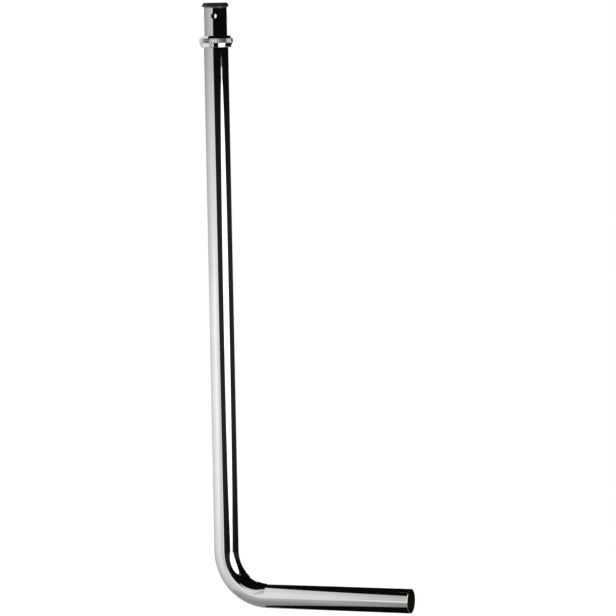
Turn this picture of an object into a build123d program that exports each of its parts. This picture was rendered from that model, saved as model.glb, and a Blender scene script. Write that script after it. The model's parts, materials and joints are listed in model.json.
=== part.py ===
from build123d import *
import math
import os

# Flush pipe, in millimetres. The origin is the centre of the gasket's top face, where the valve
# bears. +Z is up the upright leg, and the lower leg runs out towards +X.

# pipe
tube_od = 28.0
tube_wall = 1.0
swage = 1.0                 # radial step from the tube down to the spigot that passes through the nut
axis_drop = 675.0           # gasket face to the point where the two leg axes meet
axis_reach = 222.5          # that meeting point to the open lower end
bend_radius = 50.0          # on the centre line
bend_angle = 90.0           # turn from the upright leg into the lower one
end_break = 0.3             # broken edges of the lower mouth

# flared lip at the pipe's top
lip_overhang = 1.1          # beyond the spigot
lip_thickness = 1.0
lip_hollow_radius = 0.8     # concave corner under the lip

# air inlets through the spigot
air_hole_dia = 6.6
air_hole_count = 4
air_hole_depth = 15.0       # gasket face to the hole axes
air_hole_turn = 13.0        # first hole, turned from -Y towards +X

# gasket, a ring on the lip with a skirt around it
gasket_thickness = 3.4      # above the lip
gasket_face = 1.5           # width of the top face
gasket_slope = 2.4          # height of the cone around that face
gasket_edge_radius = 0.4
gasket_gap = 0.1            # radial, skirt around the lip
gasket_skirt = 0.8

# union nut
nut_height = 13.2
nut_top_drop = 37.2         # gasket face to the nut's top face, nut resting on the shoulder
thread_clearance = 0.15     # radial, gasket inside the crests of the one-inch pipe thread
nut_wall = 1.75             # thread crests to the outside, at both ends
nut_lip = 3.0               # inward lip that pulls the pipe up
nut_clearance = 0.25        # radial, nut lip on the spigot
nut_seat_gap = 0.2          # nut lip above the shoulder's cone
nut_relief = 0.9            # chamfer on the lip's upper inner edge, clear of the hollow under the pipe's lip
shoulder_rise = 1.5         # radial, plain cones from the ends up to the knurled band
knurl_stand = 0.9           # crests beyond the cones
knurl_bottom = 4.8          # from the nut's lower face
knurl_height = 5.4
knurl_edge = 0.8            # chamfers that end the knurl
knurl_count = 60
knurl_depth = 0.6
knurl_helix = 30.0          # degrees from the nut's axis

tube_r = tube_od / 2
tube_bore = tube_r - tube_wall
spigot_r = tube_r - swage
spigot_bore = spigot_r - tube_wall
lip_r = spigot_r + lip_overhang
lip_top = -gasket_thickness
lip_under = lip_top - lip_thickness
lip_round = lip_hollow_radius + tube_wall
skirt_r = lip_r + gasket_gap
gasket_r = skirt_r + gasket_skirt
thread_r = gasket_r + thread_clearance
thread_chamfer = nut_wall / 3
nut_end_r = thread_r + nut_wall
nut_edge_radius = nut_wall / 3
shoulder_r = nut_end_r + shoulder_rise
knurl_r = shoulder_r + knurl_stand
nut_bottom = -nut_top_drop - nut_height
cone_bottom = nut_bottom - nut_seat_gap
cone_top = cone_bottom + swage
corner = bend_radius * math.tan(math.radians(bend_angle / 2))
bend_top = corner - axis_drop
leg_length = axis_reach - corner
turn = math.radians(bend_angle)
leg_dir = (math.sin(turn), 0.0, -math.cos(turn))


def revolved(edges):
    return revolve(make_face(edges), Axis.Z)


def at(r, z):
    return (r, 0.0, z)


def arc(start, end, centre, radius):
    # the quarter round from start to end about centre, in the XZ plane
    mid_r = start[0] + end[0] - 2 * centre[0]
    mid_z = start[2] + end[2] - 2 * centre[2]
    size = radius / math.hypot(mid_r, mid_z)
    return ThreePointArc(start, at(centre[0] + mid_r * size, centre[2] + mid_z * size), end)


def upright_leg():
    # tube, swaged cone, spigot and flared lip as one wall turned about Z
    hollow = at(spigot_r + lip_hollow_radius, lip_under - lip_hollow_radius)
    hollow_low = at(spigot_r, lip_under - lip_hollow_radius)
    hollow_out = at(spigot_r + lip_hollow_radius, lip_under)
    mouth_low = at(spigot_bore, lip_top - lip_round)
    mouth_out = at(spigot_bore + lip_round, lip_top)
    mouth = at(spigot_bore + lip_round, lip_top - lip_round)
    outside = [
        Line(at(tube_r, bend_top), at(tube_r, cone_bottom)),
        Line(at(tube_r, cone_bottom), at(spigot_r, cone_top)),
        Line(at(spigot_r, cone_top), hollow_low),
        arc(hollow_low, hollow_out, hollow, lip_hollow_radius),
        Line(hollow_out, at(lip_r, lip_under)),
        Line(at(lip_r, lip_under), at(lip_r, lip_top)),
    ]
    inside = [
        Line(at(lip_r, lip_top), mouth_out),
        arc(mouth_out, mouth_low, mouth, lip_round),
        Line(mouth_low, at(spigot_bore, cone_top)),
        Line(at(spigot_bore, cone_top), at(tube_bore, cone_bottom)),
        Line(at(tube_bore, cone_bottom), at(tube_bore, bend_top)),
        Line(at(tube_bore, bend_top), at(tube_r, bend_top)),
    ]
    return revolved(outside + inside)


def elbow():
    ring = Plane.XY.offset(bend_top) * (Circle(tube_r) - Circle(tube_bore))
    return revolve(ring, Axis((bend_radius, 0, bend_top), (0, -1, 0)), bend_angle)


def lower_leg():
    start = Plane(
        origin=(bend_radius - bend_radius * math.cos(turn), 0, bend_top - bend_radius * math.sin(turn)),
        x_dir=(0, 1, 0),
        z_dir=leg_dir,
    )
    leg = extrude(start * (Circle(tube_r) - Circle(tube_bore)), leg_length)
    mouth = leg.faces().sort_by(Axis((0, 0, 0), leg_dir))[-1]
    return chamfer(mouth.edges(), end_break)


def air_holes():
    # each drill starts on the axis and leaves through one wall
    outward = (Align.CENTER, Align.CENTER, Align.MIN)
    drill = Cylinder(air_hole_dia / 2, tube_od, rotation=(90, 0, 0), align=outward)
    return [
        Pos(0, 0, -air_hole_depth) * Rot(0, 0, air_hole_turn + 360 / air_hole_count * i) * drill
        for i in range(air_hole_count)
    ]


def pipe():
    return upright_leg() + elbow() + lower_leg() - air_holes()


def gasket():
    ring = revolved(
        Polyline(
            at(spigot_bore, 0),
            at(spigot_bore + gasket_face, 0),
            at(gasket_r, -gasket_slope),
            at(gasket_r, lip_under),
            at(skirt_r, lip_under),
            at(skirt_r, lip_top),
            at(spigot_bore, lip_top),
            close=True,
        )
    )
    rim = ring.edges().filter_by(GeomType.CIRCLE).filter_by_position(Axis.Z, 0, 0).sort_by(SortBy.RADIUS)[-1]
    return fillet(rim, gasket_edge_radius)


def knurled_band():
    # two toothed prisms twisted opposite ways: what both keep is a diamond knurl
    root = knurl_r - knurl_depth
    points = []
    for i in range(2 * knurl_count):
        angle = math.pi * i / knurl_count
        radius = knurl_r if i % 2 == 0 else root
        points.append((radius * math.cos(angle), radius * math.sin(angle)))
    teeth = make_face(Polyline(points, close=True))
    twist = math.degrees(knurl_height * math.tan(math.radians(knurl_helix)) / knurl_r)
    base = Plane.XY.offset(nut_bottom + knurl_bottom)
    section = (base * teeth).face()
    height = (0, 0, knurl_height)
    twisted = [
        Solid.extrude_linear_with_rotation(section, base.origin, height, side * twist)
        for side in (1, -1)
    ]
    return twisted[0] & twisted[1]


def nut_blank():
    lip_bore = spigot_r + nut_clearance
    lip_face = nut_bottom + nut_lip
    top = nut_bottom + nut_height
    seat = tube_r - lip_bore
    knurl_low = nut_bottom + knurl_bottom
    outline = Polyline(
        at(lip_bore + seat, nut_bottom),
        at(nut_end_r, nut_bottom),
        at(shoulder_r, knurl_low),
        at(shoulder_r, knurl_low + knurl_height),
        at(nut_end_r, top),
        at(thread_r + thread_chamfer, top),
        at(thread_r, top - thread_chamfer),
        at(thread_r, lip_face),
        at(lip_bore + nut_relief, lip_face),
        at(lip_bore, lip_face - nut_relief),
        at(lip_bore, nut_bottom + seat),
        close=True,
    )
    blank = revolved(outline)
    ends = blank.edges().filter_by(GeomType.CIRCLE).filter_by(lambda e: abs(e.radius - nut_end_r) < 1e-3)
    return fillet(ends, nut_edge_radius)


def knurl_envelope():
    # the band's bevelled outline, which trims the knurl's ends
    low = nut_bottom + knurl_bottom
    high = low + knurl_height
    inner = shoulder_r - knurl_edge
    return revolved(
        Polyline(
            at(inner, low),
            at(knurl_r - knurl_edge, low),
            at(knurl_r, low + knurl_edge),
            at(knurl_r, high - knurl_edge),
            at(knurl_r - knurl_edge, high),
            at(inner, high),
            close=True,
        )
    )


def nut():
    return nut_blank() + (knurled_band() & knurl_envelope())


os.makedirs("parts", exist_ok=True)
export_step(pipe(), "parts/pipe.step")
export_step(gasket(), "parts/gasket.step")
export_step(nut(), "parts/nut.step")
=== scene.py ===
import bpy
import json
import math
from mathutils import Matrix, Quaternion, Vector


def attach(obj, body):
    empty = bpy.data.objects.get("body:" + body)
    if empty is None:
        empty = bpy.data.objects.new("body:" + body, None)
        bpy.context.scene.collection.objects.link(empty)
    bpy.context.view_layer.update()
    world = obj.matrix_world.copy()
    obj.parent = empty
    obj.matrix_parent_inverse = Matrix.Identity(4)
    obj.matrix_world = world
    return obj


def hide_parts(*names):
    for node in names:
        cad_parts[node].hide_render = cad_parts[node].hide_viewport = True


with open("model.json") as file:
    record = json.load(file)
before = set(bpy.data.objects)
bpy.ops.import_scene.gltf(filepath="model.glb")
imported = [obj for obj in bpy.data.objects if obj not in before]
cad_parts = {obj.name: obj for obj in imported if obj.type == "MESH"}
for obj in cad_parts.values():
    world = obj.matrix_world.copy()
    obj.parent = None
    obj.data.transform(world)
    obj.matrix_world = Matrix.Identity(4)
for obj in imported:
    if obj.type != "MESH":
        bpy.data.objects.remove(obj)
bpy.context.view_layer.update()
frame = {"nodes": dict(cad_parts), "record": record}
nodes = frame["nodes"]
panEnd = next(mount for mount in frame["record"]["mounts"] if mount["name"] == "pan_end")
print("loaded", sorted(nodes))


class Wire:
    # one socket of a node tree; arithmetic on it adds Math nodes
    def __init__(self, tree, socket=None):
        self.tree = tree
        self.socket = socket

    def node(self, kind, settings=None, sockets=None, out=0):
        made = self.tree.nodes.new(kind)
        for name, value in (settings or {}).items():
            if name == "stops":
                ramp = made.color_ramp.elements
                while len(ramp) < len(value):
                    ramp.new(1.0)
                for stop, (place, grey) in zip(ramp, value):
                    stop.position = place
                    stop.color = (grey, grey, grey, 1.0)
            else:
                setattr(made, name, value)
        for name, value in (sockets or {}).items():
            if isinstance(value, Wire):
                self.tree.links.new(value.socket, made.inputs[name])
            else:
                made.inputs[name].default_value = value
        return Wire(self.tree, made.outputs[out] if len(made.outputs) else None)

    def math(self, operation, first, second=0.0):
        return self.node("ShaderNodeMath", {"operation": operation}, {0: first, 1: second})

    def __add__(self, other):
        return self.math("ADD", self, other)

    def __sub__(self, other):
        return self.math("SUBTRACT", self, other)

    def __mul__(self, other):
        return self.math("MULTIPLY", self, other)

    def __truediv__(self, other):
        return self.math("DIVIDE", self, other)

    def __rsub__(self, other):
        return self.math("SUBTRACT", other, self)

    __radd__ = __add__
    __rmul__ = __mul__

    def most(self, other):
        return self.math("MAXIMUM", self, other)

    def hypot(self, other):
        return self.math("SQRT", self * self + other * other)

    def step(self, low, high):
        # 0 below low, 1 above high, smooth between them
        return self.node(
            "ShaderNodeMapRange",
            {"interpolation_type": "SMOOTHSTEP"},
            {"Value": self, "From Min": low, "From Max": high},
        )


def newMaterial(name):
    material = bpy.data.materials.new(name)
    material.use_nodes = True
    tree = material.node_tree
    tree.nodes.clear()
    return material, Wire(tree)


def objectPlace(wire):
    place = wire.node("ShaderNodeTexCoord", out="Object")
    return place, [wire.node("ShaderNodeSeparateXYZ", sockets={"Vector": place}, out=axis) for axis in "XYZ"]


def surface(wire, sockets, constants):
    shader = wire.node("ShaderNodeBsdfPrincipled", sockets={**constants, **sockets})
    wire.node("ShaderNodeOutputMaterial", sockets={"Surface": shader})


def glow(wire, strength):
    light = wire.node("ShaderNodeEmission", sockets={"Strength": strength})
    wire.node("ShaderNodeOutputMaterial", sockets={"Surface": light})


def noise(wire, place, scale, detail=2.0, stretch=(1, 1, 1)):
    mapped = wire.node("ShaderNodeMapping", sockets={"Vector": place, "Scale": stretch})
    return wire.node("ShaderNodeTexNoise", sockets={"Vector": mapped, "Scale": scale, "Detail": detail})


def mixColours(wire, share, first, second):
    # the colour sockets of a Mix node share their names with others, so they go by number
    return wire.node("ShaderNodeMix", {"data_type": "RGBA"}, {"Factor": share, 6: first, 7: second}, out=2)


def bumped(wire, height, strength, depth):
    return wire.node("ShaderNodeBump", sockets={"Strength": strength, "Distance": depth, "Height": height})


tubeChrome = {
    "plate": (0.86, 0.86, 0.87, 1.0),
    "plateThin": (0.82, 0.82, 0.83, 1.0),   # where the plate is a touch greyer
    "brass": (0.2, 0.15, 0.09, 1.0),        # bare drawn metal inside, gone brown
    "flare": (0.3, 0.3, 0.31, 1.0),         # the turned-out rim: rougher, and its colour darkened as painted shade that hides a reflection
    "flareRoughness": 0.35,
    "flareBottom": -0.0066,
    "flareBlend": 0.0008,
    "polish": 0.03,
    "smearRoughness": 0.03,
    "smearScale": 14,
    "smearDetail": 4,
    "smearRange": (0.45, 0.75),
    "drawnRoughness": 0.02,                 # fine lines along the tube, left by drawing it
    "drawnScale": 900,
    "drawnStretch": 0.02,
    "drawnBump": (0.03, 0.00002),           # strength and depth
    "insideRoughness": 0.42,
    "wall": 0.001,
    "wallBlend": 0.0001,
    "neckBottom": -0.0496,                  # above here the tube is narrower
    "neckIn": 0.001,
    "neckBlend": 0.001,
    "bendRadius": 0.05,
    "bendBlend": 0.0005,
}


def makeTubeChrome():
    material, wire = newMaterial("tubeChrome")
    place, (x, y, z) = objectPlace(wire)
    legDepth = panEnd["pos_m"][2]
    bendX = x - tubeChrome["bendRadius"]
    bendZ = z - (legDepth + tubeChrome["bendRadius"])
    upright = y.hypot(x)
    lying = y.hypot(z - legDepth)
    bend = y.hypot(bendX.hypot(bendZ) - tubeChrome["bendRadius"])
    below = (0 - bendZ).step(0, tubeChrome["bendBlend"])
    beyond = bendX.step(0, tubeChrome["bendBlend"])
    fromAxis = upright * (1 - below) + (lying * beyond + bend * (1 - beyond)) * below
    wallMiddle = panEnd["dims"]["r_mm"] / 1000 - tubeChrome["wall"] / 2
    necked = (z - tubeChrome["neckBottom"]).step(-tubeChrome["neckBlend"], 0)
    fromWall = fromAxis - (wallMiddle - tubeChrome["neckIn"] * necked)
    outside = fromWall.step(-tubeChrome["wallBlend"], tubeChrome["wallBlend"])
    smear = noise(wire, place, tubeChrome["smearScale"], tubeChrome["smearDetail"])
    smear = smear.step(*tubeChrome["smearRange"])
    thin = tubeChrome["drawnStretch"]
    drawnUpright = noise(wire, place, tubeChrome["drawnScale"], stretch=(1, 1, thin))
    drawnLying = noise(wire, place, tubeChrome["drawnScale"], stretch=(thin, 1, 1))
    drawn = drawnUpright * (1 - below) + drawnLying * below
    flared = (z - tubeChrome["flareBottom"]).step(0, tubeChrome["flareBlend"])
    plated = mixColours(wire, smear, tubeChrome["plate"], tubeChrome["plateThin"])
    # the flared rim's colour is darkened here: painted shade
    plated = mixColours(wire, flared, plated, tubeChrome["flare"])
    colour = mixColours(wire, outside, tubeChrome["brass"], plated)
    worn = smear * tubeChrome["smearRoughness"] + drawn * tubeChrome["drawnRoughness"]
    shine = tubeChrome["polish"] + worn + flared * tubeChrome["flareRoughness"]
    roughness = shine * outside + tubeChrome["insideRoughness"] * (1 - outside)
    bump = bumped(wire, drawn, *tubeChrome["drawnBump"])
    surface(wire, {"Base Color": colour, "Roughness": roughness, "Normal": bump}, {"Metallic": 1.0})
    return material


nutThread = {
    "pitch": 0.00231,           # eleven turns to the inch
    "turns": 5,                 # the last one leaves through the nut's mouth
    "lowest": -0.0463,          # middle of the first turn, just above the lip
    "innerRadius": 0.01475,     # the cutting tool stands proud of the bore
    "rootRadius": 0.01605,
    "innerWidth": 0.00185,
    "rootWidth": 0.0005,
    "steps": 64,                # round each turn
    "mergeWithin": 1e-6,
    "smoothTo": 30.0,           # degrees; sharper edges stay crisp
}


def pickOnly(obj):
    bpy.ops.object.select_all(action="DESELECT")
    obj.select_set(True)
    bpy.context.view_layer.objects.active = obj


def makeThreadTool():
    # a tapered profile beside the axis, wound up into a helix
    middle = (nutThread["innerRadius"] + nutThread["rootRadius"]) / 2
    start = (middle, 0, nutThread["lowest"])
    bpy.ops.object.select_all(action="DESELECT")
    bpy.ops.mesh.primitive_plane_add(size=1, location=start, rotation=(math.pi / 2, 0, 0))
    tool = bpy.context.object
    tool.name = "threadTool"
    tool.scale = (nutThread["rootRadius"] - nutThread["innerRadius"], nutThread["innerWidth"], 1)
    bpy.ops.object.transform_apply(location=True, rotation=True, scale=True)
    bpy.ops.object.mode_set(mode="EDIT")
    bpy.ops.mesh.delete(type="ONLY_FACE")
    bpy.ops.mesh.select_all(action="DESELECT")
    bpy.ops.object.mode_set(mode="OBJECT")
    for vertex in tool.data.vertices:
        vertex.select = vertex.co.x > middle
    bpy.ops.object.mode_set(mode="EDIT")
    taper = nutThread["rootWidth"] / nutThread["innerWidth"]
    bpy.ops.transform.resize(value=(1, 1, taper), center_override=start)
    bpy.ops.object.mode_set(mode="OBJECT")
    helix = tool.modifiers.new("helix", "SCREW")
    helix.axis = "Z"
    helix.screw_offset = nutThread["pitch"]
    helix.iterations = nutThread["turns"]
    helix.steps = nutThread["steps"]
    helix.render_steps = nutThread["steps"]
    bpy.ops.object.modifier_apply(modifier="helix")
    bpy.ops.object.mode_set(mode="EDIT")
    bpy.ops.mesh.select_all(action="SELECT")
    bpy.ops.mesh.fill_holes(sides=4)    # the helix's two ends
    bpy.ops.mesh.normals_make_consistent(inside=False)
    bpy.ops.object.mode_set(mode="OBJECT")
    return tool


def makeThreadedNut():
    nut = bpy.data.objects.new("threadedNut", nodes["nut"].data.copy())
    bpy.context.collection.objects.link(nut)
    pickOnly(nut)
    bpy.ops.object.mode_set(mode="EDIT")
    bpy.ops.mesh.select_all(action="SELECT")
    bpy.ops.mesh.remove_doubles(threshold=nutThread["mergeWithin"])
    bpy.ops.mesh.customdata_custom_splitnormals_clear()
    bpy.ops.object.mode_set(mode="OBJECT")
    tool = makeThreadTool()
    cut = nut.modifiers.new("thread", "BOOLEAN")
    cut.operation = "DIFFERENCE"
    cut.solver = "EXACT"
    cut.object = tool
    pickOnly(nut)
    bpy.ops.object.modifier_apply(modifier="thread")
    bpy.data.objects.remove(tool)
    bpy.ops.object.shade_smooth_by_angle(angle=math.radians(nutThread["smoothTo"]))
    even = nut.modifiers.new("evenNormals", "WEIGHTED_NORMAL")
    even.keep_sharp = True
    bpy.ops.object.modifier_apply(modifier="evenNormals")
    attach(nut, "nut")
    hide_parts("nut")
    return nut


nutChrome = {
    "plate": (0.84, 0.84, 0.85, 1.0),
    "grime": (0.5, 0.5, 0.51, 1.0),         # in the valleys of the knurl
    "grimeShare": 0.6,
    "thinPlate": (0.68, 0.64, 0.55, 1.0),   # brass shows through in the thread
    "polish": 0.04,
    "smearRoughness": 0.03,
    "smearScale": 60,
    "smearDetail": 3,
    "smearRange": (0.4, 0.8),
    "knurlRoughness": 0.2,
    "threadRoughness": 0.22,
    "knurlRadius": (0.01855, 0.0192),       # valley floor and crest
    "knurlBlend": 0.0002,
    "threadRadius": 0.0162,
    "threadHeights": (-0.0496, -0.0376),
    "threadBlend": (0.0001, 0.0003),        # outwards, and towards both ends
}


def makeNutChrome():
    material, wire = newMaterial("nutChrome")
    place, (x, y, z) = objectPlace(wire)
    radius = x.hypot(y)
    valley, crest = nutChrome["knurlRadius"]
    flank = valley + nutChrome["knurlBlend"]
    knurled = radius.step(valley, flank)
    deep = knurled * (1 - radius.step(flank, crest))
    low, high = nutChrome["threadHeights"]
    outwards, endwards = nutChrome["threadBlend"]
    inBore = 1 - radius.step(nutChrome["threadRadius"], nutChrome["threadRadius"] + outwards)
    threaded = inBore * z.step(low, low + endwards) * (1 - z.step(high - endwards, high))
    smear = noise(wire, place, nutChrome["smearScale"], nutChrome["smearDetail"])
    smear = smear.step(*nutChrome["smearRange"])
    plated = mixColours(wire, deep * nutChrome["grimeShare"], nutChrome["plate"], nutChrome["grime"])
    colour = mixColours(wire, threaded, plated, nutChrome["thinPlate"])
    worked = knurled * nutChrome["knurlRoughness"] + threaded * nutChrome["threadRoughness"]
    roughness = nutChrome["polish"] + smear * nutChrome["smearRoughness"] + worked
    surface(wire, {"Base Color": colour, "Roughness": roughness}, {"Metallic": 1.0})
    return material


gasketRubber = {
    "black": (0.012, 0.012, 0.012, 1.0),
    "bloom": (0.03, 0.03, 0.031, 1.0),      # pale dust left by moulding
    "bloomScale": 220,
    "bloomDetail": 4,
    "bloomRange": (0.45, 0.8),
    "roughness": 0.55,
    "bloomRoughness": 0.2,
    "grainScale": 2600,
    "grainDetail": 3,
    "grainBump": (0.25, 0.00012),           # strength and depth
    "shine": 0.35,
}


def makeGasketRubber():
    material, wire = newMaterial("gasketRubber")
    place, _ = objectPlace(wire)
    bloom = noise(wire, place, gasketRubber["bloomScale"], gasketRubber["bloomDetail"])
    bloom = bloom.step(*gasketRubber["bloomRange"])
    grain = noise(wire, place, gasketRubber["grainScale"], gasketRubber["grainDetail"])
    colour = mixColours(wire, bloom, gasketRubber["black"], gasketRubber["bloom"])
    roughness = gasketRubber["roughness"] + bloom * gasketRubber["bloomRoughness"]
    bump = bumped(wire, grain, *gasketRubber["grainBump"])
    surface(
        wire,
        {"Base Color": colour, "Roughness": roughness, "Normal": bump},
        {"Specular IOR Level": gasketRubber["shine"]},
    )
    return material


def dress(obj, material):
    obj.data.materials.clear()
    obj.data.materials.append(material)


dress(nodes["pipe"], makeTubeChrome())
dress(makeThreadedNut(), makeNutChrome())
dress(nodes["gasket"], makeGasketRubber())
print("cut the nut's thread and dressed the pipe, nut and gasket")

studio = {
    "floorDepth": -1.7,
    "floorSize": 14.0,
    "floorGrey": (0.8, 0.8, 0.8, 1.0),
    "floorFill": 0.75,                      # what the camera sees of the floor beyond its own light
    "floorSeenInChrome": (0.27, 0.47),      # its glow as the chrome sees it, under the pipe and well away from it; darker under the pipe as painted shade
    "floorFade": (0.4, 2.4),                # distances where that change starts and ends
    "floorShade": 0.4,                      # painted shade: how much darker it is at the right and in front
    "floorShadeSlant": 0.4,
    "floorShadeEdge": (0.06, 0.26),
    "ambient": 0.45,
}


def onlyReflected(obj):
    # seen in the chrome, and by nothing else
    obj.visible_camera = False
    obj.visible_diffuse = False
    obj.visible_shadow = False
    obj.visible_transmission = False


def makeFloor():
    bpy.ops.object.select_all(action="DESELECT")
    bpy.ops.mesh.primitive_plane_add(size=studio["floorSize"], location=(0, 0, studio["floorDepth"]))
    floor = bpy.context.object
    floor.name = "floor"
    material, wire = newMaterial("paleFloor")
    _, (x, y, _) = objectPlace(wire)
    camera = wire.node("ShaderNodeLightPath", out="Is Camera Ray")
    glossy = wire.node("ShaderNodeLightPath", out="Is Glossy Ray")
    paint = wire.node("ShaderNodeBsdfDiffuse", sockets={"Color": studio["floorGrey"]})
    fill = wire.node("ShaderNodeEmission", sockets={"Strength": camera * studio["floorFill"]})
    lit = wire.node("ShaderNodeAddShader", sockets={0: paint, 1: fill})
    near, far = studio["floorSeenInChrome"]
    level = near + (far - near) * x.hypot(y).step(*studio["floorFade"])
    shaded = (x - studio["floorShadeSlant"] * y).step(*studio["floorShadeEdge"])
    # the floor glows as the chrome sees it, with painted shade under the pipe and at the right and front
    dim = wire.node("ShaderNodeEmission", sockets={"Strength": level * (1 - studio["floorShade"] * shaded)})
    both = wire.node("ShaderNodeMixShader", sockets={0: glossy, 1: lit, 2: dim})
    wire.node("ShaderNodeOutputMaterial", sockets={"Surface": both})
    floor.data.materials.append(material)


def makeWorld():
    world = bpy.data.worlds.new("whiteRoom")
    bpy.context.scene.world = world
    world.use_nodes = True
    tree = world.node_tree
    tree.nodes.clear()
    wire = Wire(tree)
    camera = wire.node("ShaderNodeLightPath", out="Is Camera Ray")
    glossy = wire.node("ShaderNodeLightPath", out="Is Glossy Ray")
    through = wire.node("ShaderNodeLightPath", out="Is Transmission Ray")
    seen = camera.most(glossy).most(through)
    strength = studio["ambient"] + seen * (1 - studio["ambient"])
    white = wire.node("ShaderNodeBackground", sockets={"Color": (1, 1, 1, 1), "Strength": strength})
    wire.node("ShaderNodeOutputWorld", sockets={"Surface": white})


def addCard(name, place, size, turns):
    bpy.ops.object.select_all(action="DESELECT")
    bpy.ops.mesh.primitive_plane_add(size=1, location=place, rotation=[math.radians(turn) for turn in turns])
    card = bpy.context.object
    card.name = name
    card.scale = (size[0], size[1], 1)
    bpy.ops.object.transform_apply(location=True, rotation=True, scale=True)
    onlyReflected(card)
    return card


blackCards = {
    # centre, width and height, turns about x, y and z; the chrome is black where it faces them
    "overheadCard": ((1.16, -0.643, 0.33), (2.7, 4.15), (0, 0, 11.3)),
    "overheadStrip": ((-0.727, 3.059, 0.33), (0.45, 3.85), (0, 0, 11.3)),
    "overheadBack": ((1.3, 1.7, 0.331), (2.0, 1.8), (0, 0, 0)),
    "underStrip": ((-0.281, 1.52, -1.69), (0.5, 5.0), (0, 0, 7.5)),
    "underFront": ((0.96, -2.15, -1.69), (1.7, 1.1), (0, 0, 0)),
    "frontCard": ((1.24, -2.6, -0.435), (2.12, 1.53), (90, 0, 0)),
    "frontEdge": ((0.189, -2.6, -0.45), (0.7, 1.5), (90, -14.6, 0)),
    "rightCard": ((2.3, -0.1, -0.46), (5.4, 1.58), (90, 0, 90)),
    "backCard": ((1.06, 2.6, -0.6), (2.48, 1.3), (90, 0, 0)),
    "backTop": ((1.3, 2.601, 0.19), (2.0, 0.32), (90, 0, 0)),
}

blackCloth = {
    "black": 0.003,
    "worn": 0.017,                  # painted light: the cards glow a little more at half height
    "wornFrom": (-1.15, -0.75),
    "wornTo": (-0.45, 0.0),
}


def makeBlackCards():
    material, wire = newMaterial("blackCloth")
    _, (_, _, z) = objectPlace(wire)
    # painted light: the black cards glow a little more at half height
    worn = z.step(*blackCloth["wornFrom"]) * (1 - z.step(*blackCloth["wornTo"]))
    glow(wire, blackCloth["black"] + blackCloth["worn"] * worn)
    for name, (place, size, turns) in blackCards.items():
        addCard(name, place, size, turns).data.materials.append(material)


plainCards = {
    # cards of one even grey: centre, width and height, turns about x, y and z, how light they are
    "softboxFoot": ((0.552, -0.217, -0.71), (0.24, 0.08), (90, 0, 68.5), 1.2),
    "softboxTip": ((0.552, -0.217, -0.0788), (0.12, 0.0125), (90, 0, 68.5), 1.0),
    "softboxFade": ((0.552, -0.217, -0.0661), (0.12, 0.0128), (90, 0, 68.5), 0.12),
    "paleCeiling": ((-0.5, -7.0, 3.6), (1.8, 8.0), (0, 0, 0), 0.67),
    "underPale": ((-0.23, -2.5, -1.69), (0.68, 0.6), (0, 0, 0), 0.66),
}


def makePlainCards():
    for name, (place, size, turns, light) in plainCards.items():
        material, wire = newMaterial(name)
        glow(wire, light)
        addCard(name, place, size, turns).data.materials.append(material)


paperSheet = {
    "x": -1.3,
    "front": -14.0,
    "back": 1.6,
    "bottom": -1.69,
    "top": 3.6,
    # height, and how light the sheet is there: beside the upright leg, and in front of the lower one
    "besideShades": [(-1.69, 0.6), (-0.95, 0.84), (-0.81, 0.94), (-0.77, 1.02), (-0.45, 1.08), (-0.37, 0.92),
                     (-0.29, 0.83), (-0.21, 0.775), (-0.13, 0.68), (-0.05, 0.54), (3.6, 0.54)],
    "frontShades": [(-1.69, 0.62), (-1.54, 0.66), (-0.92, 0.85), (0.95, 0.85), (1.96, 0.75), (3.6, 0.75)],
    # distance along the sheet, and its share of the light beside the upright leg
    "alongShades": [(-9.0, 0.85), (-2.8, 0.85), (-1.68, 1.0), (-1.03, 1.0), (-0.56, 0.84), (-0.14, 0.82),
                    (0.37, 0.67), (1.6, 0.5)],
    # the front shades hold above this height, and below it only along this stretch
    "frontAbove": (0, 0.3),
    "frontFrom": (-4.1, -3.85),
    "frontTo": (-3.1, -2.95),
    "poolCentre": (0.0, -0.6),      # the light on the sheet falls off round an oval
    "poolSize": (3.18, 3.0),
    "poolFall": 0.34,
    "poolRim": (1.12, 1.42),        # in shares of the oval's size
    "poolBeyond": (1.5, 1.75),      # past the rim it is light again
}


def shadeAlong(wire, value, shades):
    low, high = shades[0][0], shades[-1][0]
    top = max(grey for _, grey in shades)
    stops = [((place - low) / (high - low), grey / top) for place, grey in shades]
    return top * wire.node("ShaderNodeValToRGB", {"stops": stops}, {"Fac": (value - low) / (high - low)})


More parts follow.
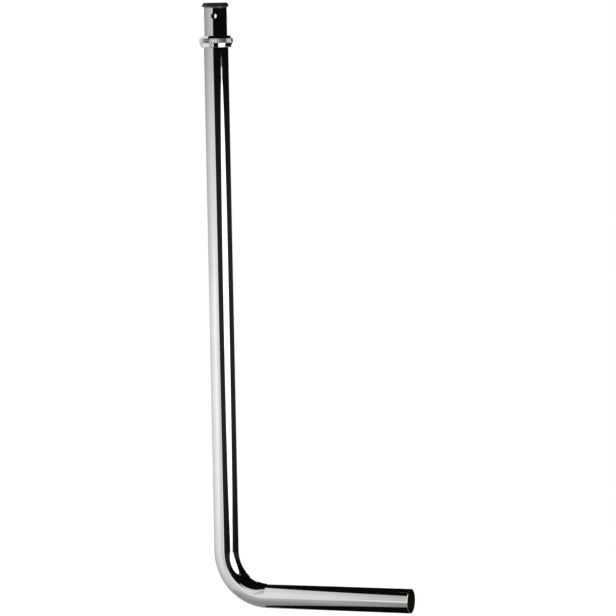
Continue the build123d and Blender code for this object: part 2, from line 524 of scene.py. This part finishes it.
def makePaperSheet():
    tall = paperSheet["top"] - paperSheet["bottom"]
    long = paperSheet["back"] - paperSheet["front"]
    middle = (paperSheet["x"], paperSheet["front"] + long / 2, paperSheet["bottom"] + tall / 2)
    sheet = addCard("paperSheet", middle, (tall, long), (0, 90, 0))
    material, wire = newMaterial("paper")
    _, (_, y, z) = objectPlace(wire)
    beside = shadeAlong(wire, z, paperSheet["besideShades"]) * shadeAlong(wire, y, paperSheet["alongShades"])
    (poolY, poolZ), (poolLong, poolTall) = paperSheet["poolCentre"], paperSheet["poolSize"]
    out = ((y - poolY) / poolLong).hypot((z - poolZ) / poolTall)
    fall = paperSheet["poolFall"] * (out.step(*paperSheet["poolRim"]) - out.step(*paperSheet["poolBeyond"]))
    front = shadeAlong(wire, z, paperSheet["frontShades"]) * (1 - fall)
    stretch = (1 - y.step(*paperSheet["frontTo"])) * y.step(*paperSheet["frontFrom"])
    inFront = z.step(*paperSheet["frontAbove"]).most(stretch)
    glow(wire, beside * (1 - inFront) + front * inFront)
    sheet.data.materials.append(material)


lamps = {
    # place, aim, size across, watts, seen in the chrome
    "softbox": ((0.552, -0.217, -0.388), (0.0, 0.0, -0.262), 0.62, 1.45, True),
    "topLamp": ((-0.8, -1.2, 2.4), (0.05, 0.0, -0.4), 2.2, 55.0, False),
    "backLamp": ((0.9, 2.2, 1.6), (0.05, 0.0, -0.4), 1.6, 22.0, False),
}


def makeLamps():
    for name, (place, aim, size, watts, reflected) in lamps.items():
        bpy.ops.object.light_add(type="AREA", location=place)
        lamp = bpy.context.object
        lamp.name = name
        lamp.data.shape = "DISK"
        lamp.data.size = size
        lamp.data.energy = watts
        lamp.rotation_mode = "QUATERNION"
        lamp.rotation_quaternion = (Vector(aim) - Vector(place)).to_track_quat("-Z", "Y")
        lamp.visible_camera = False
        lamp.visible_glossy = reflected


photoView = {
    "place": (1.54725, -3.78804, -0.07242),
    "yaw": -20.8399,
    "pitch": 3.8574,
    "roll": -1.1005,
    "lens": 210.44,
    "sensor": 36.0,
    "farthest": 50.0,
}


def makeCamera():
    yaw, pitch, roll = (math.radians(photoView[turn]) for turn in ("yaw", "pitch", "roll"))
    ahead = Vector((math.sin(yaw) * math.cos(pitch), math.cos(yaw) * math.cos(pitch), -math.sin(pitch)))
    bpy.ops.object.camera_add(location=photoView["place"])
    camera = bpy.context.object
    camera.rotation_mode = "QUATERNION"
    camera.rotation_quaternion = ahead.to_track_quat("-Z", "Y") @ Quaternion((0, 0, 1), roll)
    camera.data.lens = photoView["lens"]
    camera.data.sensor_width = photoView["sensor"]
    camera.data.clip_end = photoView["farthest"]
    bpy.context.scene.camera = camera


makeFloor()
makeWorld()
makeBlackCards()
makePlainCards()
makePaperSheet()
makeLamps()
makeCamera()
bpy.context.scene.view_settings.view_transform = "Standard"
print("set the studio and the camera")
